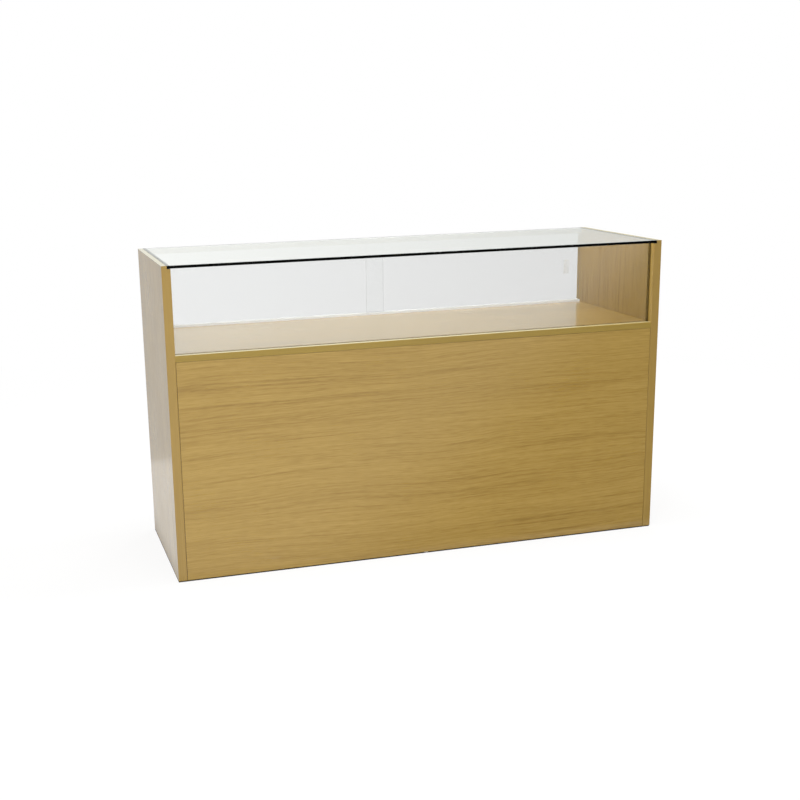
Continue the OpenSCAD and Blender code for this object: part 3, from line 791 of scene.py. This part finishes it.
def door_finish(node, end):
    """The outer end of the left pane is -1, and that of the right one is 1."""
    low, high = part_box(node)
    grip_x = (low.x if end < 0 else high.x) - end * (GRIP_IN + GRIP_WIDTH / 2)
    grip_z = (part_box("display_floor")[1].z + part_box("top_glass")[0].z) / 2
    f = Finish("clear_glass_" + node)
    x, y, z = at = f.place()
    clear = clear_body(f, DOOR_TINT)
    edge = f.shaders(DOOR_EDGE_SHARE, clear, edge_body(f, DOOR_EDGE, 0.5))
    staff_face = y > (low.y + high.y) / 2
    from_inside = f.add("ShaderNodeNewGeometry", output="Backfacing")
    mirror = INNER_MIRROR + (STAFF_MIRROR - INNER_MIRROR) * staff_face * (1.0 - from_inside)
    pane = f.shaders(is_edge(f, node, "y"), glass_body(f, clear, mirror), edge)
    in_width = abs(x - grip_x) < GRIP_WIDTH / 2 + GRIP_MARGIN
    in_height = abs(z - grip_z) < GRIP_HALF_HEIGHT
    ground = in_width * in_height * is_edge(f, node, "y")
    scratches = f.noise_at(at, GRIP_SCRATCHES)
    frosted = f.principled(
        Base_Color=f.colours(scratches, FROST, DUST),
        Roughness=0.55 + 0.2 * scratches,
        Normal=f.bump(scratches, GRIP_RELIEF, 0.5),
    )
    return f.done(f.shaders(ground, pane, f.shaders(FROST_SHARE, clear, frosted)))


for node, end in (("door_pane_left", -1), ("door_pane_right", 1)):
    dress(node, door_finish(node, end))
print("door panes: grips", 1000 * GRIP_WIDTH, "mm wide")

# %% [markdown]
# The door tracks are extruded from white plastic. It is milky: light goes in and
# comes out beside the point where it entered, which softens its corners, and some
# of the bright room behind the case shines through its thin upright walls. A faint
# glow stands for that, weaker on the top and staff faces, which the lamps light
# anyway. The extruder leaves fine lines, and dust settles in the channels.

# %% White plastic
PLASTIC_WHITE = rgb(0.67, 0.67, 0.650)
PLASTIC_SHADE = rgb(0.62, 0.62, 0.595)
PLASTIC_CLOUDS = (12.0, 60.0, 60.0)
CHANNEL_DUST = rgb(0.46, 0.44, 0.40)
CHANNEL_DUST_SPECKS = (45.0, 300.0, 300.0)
CHANNEL_DUST_SHARE = 0.12
DRAW_LINES = (1.5, 900.0, 900.0)
DRAW_RELIEF = 0.00004
GLOW_COLOUR = rgb(0.50, 0.53, 0.56)
GLOW = 0.62
GLOW_ON_TOP = 0.15
OUTER_SKIN = 0.0005


def track_finish():
    f = Finish("white_plastic")
    x, y, z = at = f.place()
    draw_lines = f.noise_at(at, DRAW_LINES, detail=1.0)
    clouds = f.noise_at(at, PLASTIC_CLOUDS)
    dust = f.noise_at(at, CHANNEL_DUST_SPECKS, detail=3.0).ramp(0.55, 0.75)
    plastic = f.colours(clouds, PLASTIC_WHITE, PLASTIC_SHADE)
    track_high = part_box("track_bottom")[1]
    inner_wall = (track_high.z - z > OUTER_SKIN) * (track_high.y - y > OUTER_SKIN)
    wall_glow = GLOW_ON_TOP + (1.0 - GLOW_ON_TOP) * inner_wall
    return f.done(
        f.principled(
            Base_Color=f.colours(dust * CHANNEL_DUST_SHARE, plastic, CHANNEL_DUST),
            Roughness=0.34 + 0.12 * draw_lines,
            Emission_Color=f.colours(wall_glow, BLACK, GLOW_COLOUR),
            Emission_Strength=GLOW,
            Subsurface_Weight=0.15,
            Subsurface_Radius=(0.002, 0.002, 0.0018),
            Subsurface_Scale=1.0,
            Normal=f.bump(draw_lines, DRAW_RELIEF, 0.3),
        )
    )


TRACKS = ("track_bottom", "track_top")
track_white = track_finish()
for node in TRACKS:
    dress(node, track_white)
print("tracks:", len(TRACKS))

# %% [markdown]
# A strip of clear plastic keeps the front glass from touching the top glass. It
# is so narrow that real refraction takes hardly any light from the case, so it is
# refracted, with a slightly rough surface from the extruder.

# %% Clear plastic
PLASTIC_CLEAR = rgb(0.94, 0.95, 0.95)
PLASTIC_HAZE = rgb(0.86, 0.88, 0.88)
PLASTIC_IOR = 1.49


def clear_strip_finish():
    f = Finish("clear_plastic")
    haze = f.noise_at(f.place(), PLASTIC_CLOUDS)
    return f.done(
        f.principled(
            Base_Color=f.colours(haze, PLASTIC_CLEAR, PLASTIC_HAZE),
            Roughness=0.20 + 0.12 * haze,
            IOR=PLASTIC_IOR,
            Transmission_Weight=0.85,
            Normal=f.bump(haze, DRAW_RELIEF, 0.3),
        )
    )


dress("front_glass_strip", clear_strip_finish())
print("clear strip: refracted with an index of", PLASTIC_IOR)

# %% [markdown]
# The top glass lies on two strips of foam tape, which keep it from rattling in its rebates. They are nearly
# black, partly as the foam's own colour and partly as painted shade, and through the glass they show as the
# grey lines inside the lips.
# Foam is a matt skin over burst cells, with lint caught at its edges. The distance
# that a Voronoi texture gives is a small hollow for every cell.

# %% Foam tape
FOAM_DARK_AND_SHADE = rgb(0.018, 0.018, 0.019)
FOAM_LINT = rgb(0.075, 0.073, 0.070)
FOAM_CELLS_PER_METRE = 1100.0
FOAM_RELIEF = 0.0003
LINT = (260.0, 60.0, 260.0)


def foam_finish():
    f = Finish("dark_foam")
    at = f.place()
    cells = f.cells(at, FOAM_CELLS_PER_METRE, "Distance")
    lint = f.noise_at(at, LINT, detail=3.0).ramp(0.56, 0.70)
    return f.done(
        f.principled(
            # Nearly black: partly the foam's own colour, partly painted shade.
            Base_Color=f.colours(lint, FOAM_DARK_AND_SHADE, FOAM_LINT),
            Roughness=0.78 + 0.18 * cells,
            Normal=f.bump(cells, FOAM_RELIEF, 0.6),
        )
    )


dress("side_strips", foam_finish())
print("foam: cells of", round(1000 / FOAM_CELLS_PER_METRE, 1), "mm")

# %% [markdown]
# The fittings are zinc: the cam housings and shelf pins are cast and plated, the
# bolts turned. Plating gives a grey metal with a faint yellow and blue cast in
# clouds, and tumbling in a barrel leaves small dents. A metal's colour is the
# colour of what it mirrors, so the clouds work on that and the dents on its blur.

# %% Zinc
ZINC_COOL = rgb(0.56, 0.58, 0.61)
ZINC_WARM = rgb(0.62, 0.59, 0.52)
ZINC_CLOUDS = 120.0
ZINC_DENTS = 900.0
DENT_RELIEF = 0.00008


def zinc_finish():
    f = Finish("zinc")
    at = f.place()
    clouds = f.noise_at(at, ZINC_CLOUDS)
    dents = f.noise_at(at, ZINC_DENTS, detail=1.0)
    return f.done(
        f.principled(
            Base_Color=f.colours(clouds, ZINC_COOL, ZINC_WARM),
            Metallic=1.0,
            Roughness=0.28 + 0.22 * dents,
            Normal=f.bump(dents, DENT_RELIEF, 0.4),
        )
    )


FITTINGS = ("cam_housings", "cam_bolts", "shelf_pins_left", "shelf_pins_right")
zinc = zinc_finish()
for node in FITTINGS:
    dress(node, zinc)
print("zinc fittings:", len(FITTINGS))

# %% [markdown]
# Small moulded pieces share one recipe with different colours: a faint mottle, a
# pebbled skin from the mould and a roughness that follows it. So one function
# makes them all. The glides are also greyed where they rub on the floor.

# %% Moulded plastics
NYLON = (rgb(0.80, 0.80, 0.77), rgb(0.73, 0.73, 0.69))
CAP_PLASTIC = (rgb(0.50, 0.33, 0.125), rgb(0.43, 0.27, 0.095))
SOFT_PLASTIC = (rgb(0.66, 0.67, 0.65), rgb(0.58, 0.59, 0.57))
RUBBED_GREY = rgb(0.30, 0.29, 0.27)
RUBBED_SHARE = 0.6
RUBBED_TOP = 0.0012
MOTTLE = 90.0
PEBBLE_RELIEF = 0.00008


def moulded_finish(name, tones, roughness, pebbles_per_metre):
    f = Finish(name)
    x, y, z = at = f.place()
    mottle = f.noise_at(at, MOTTLE)
    pebbles = f.noise_at(at, pebbles_per_metre, detail=1.0)
    rubbed = 1.0 - z.ramp(0.0, RUBBED_TOP)
    return f.done(
        f.principled(
            Base_Color=f.colours(rubbed * RUBBED_SHARE, f.colours(mottle, *tones), RUBBED_GREY),
            Roughness=roughness + 0.14 * (pebbles - 0.5),
            Normal=f.bump(pebbles, PEBBLE_RELIEF, 0.4),
        )
    )


nylon = moulded_finish("nylon", NYLON, roughness=0.42, pebbles_per_metre=1200.0)
for node in ("glides", "door_shoes_left", "door_shoes_right"):
    dress(node, nylon)
dress("cam_caps", moulded_finish("cap_plastic", CAP_PLASTIC, roughness=0.48, pebbles_per_metre=1800.0))
dress("track_bumpers", moulded_finish("soft_bumper", SOFT_PLASTIC, roughness=0.55, pebbles_per_metre=700.0))
print("moulded pieces: glides, shoes, caps and bumpers")

# %% [markdown]
# The dowels are turned from raw beech: pale and slightly pink, with dark flecks.
# They lie inside the boards and show only when the counter is taken apart, so one
# even noise is grain enough for them.

# %% Beech
BEECH_PALE = rgb(0.66, 0.47, 0.30)
BEECH_DARK = rgb(0.52, 0.34, 0.20)
BEECH_FLECK = rgb(0.30, 0.17, 0.09)
FLECK_SHARE = 0.6
BEECH_GRAIN = 180.0
BEECH_FLECKS = 700.0
BEECH_RELIEF = 0.0001


def beech_finish():
    f = Finish("raw_beech")
    at = f.place()
    grain = f.noise_at(at, BEECH_GRAIN, detail=3.0)
    flecks = f.noise_at(at, BEECH_FLECKS, detail=1.0).ramp(0.62, 0.72)
    plain = f.colours(grain, BEECH_PALE, BEECH_DARK)
    return f.done(
        f.principled(
            Base_Color=f.colours(flecks * FLECK_SHARE, plain, BEECH_FLECK),
            Roughness=0.62 + 0.15 * grain,
            Normal=f.bump(grain - 0.5 * flecks, BEECH_RELIEF, 0.5),
        )
    )


dress("dowels", beech_finish())
print("undressed nodes:", sorted(set(nodes) - set(dressed)))

# %% [markdown]
# The picture keeps Blender's Standard view, which shows a colour as it is written.

# %% View
bpy.context.scene.view_settings.view_transform = "Standard"
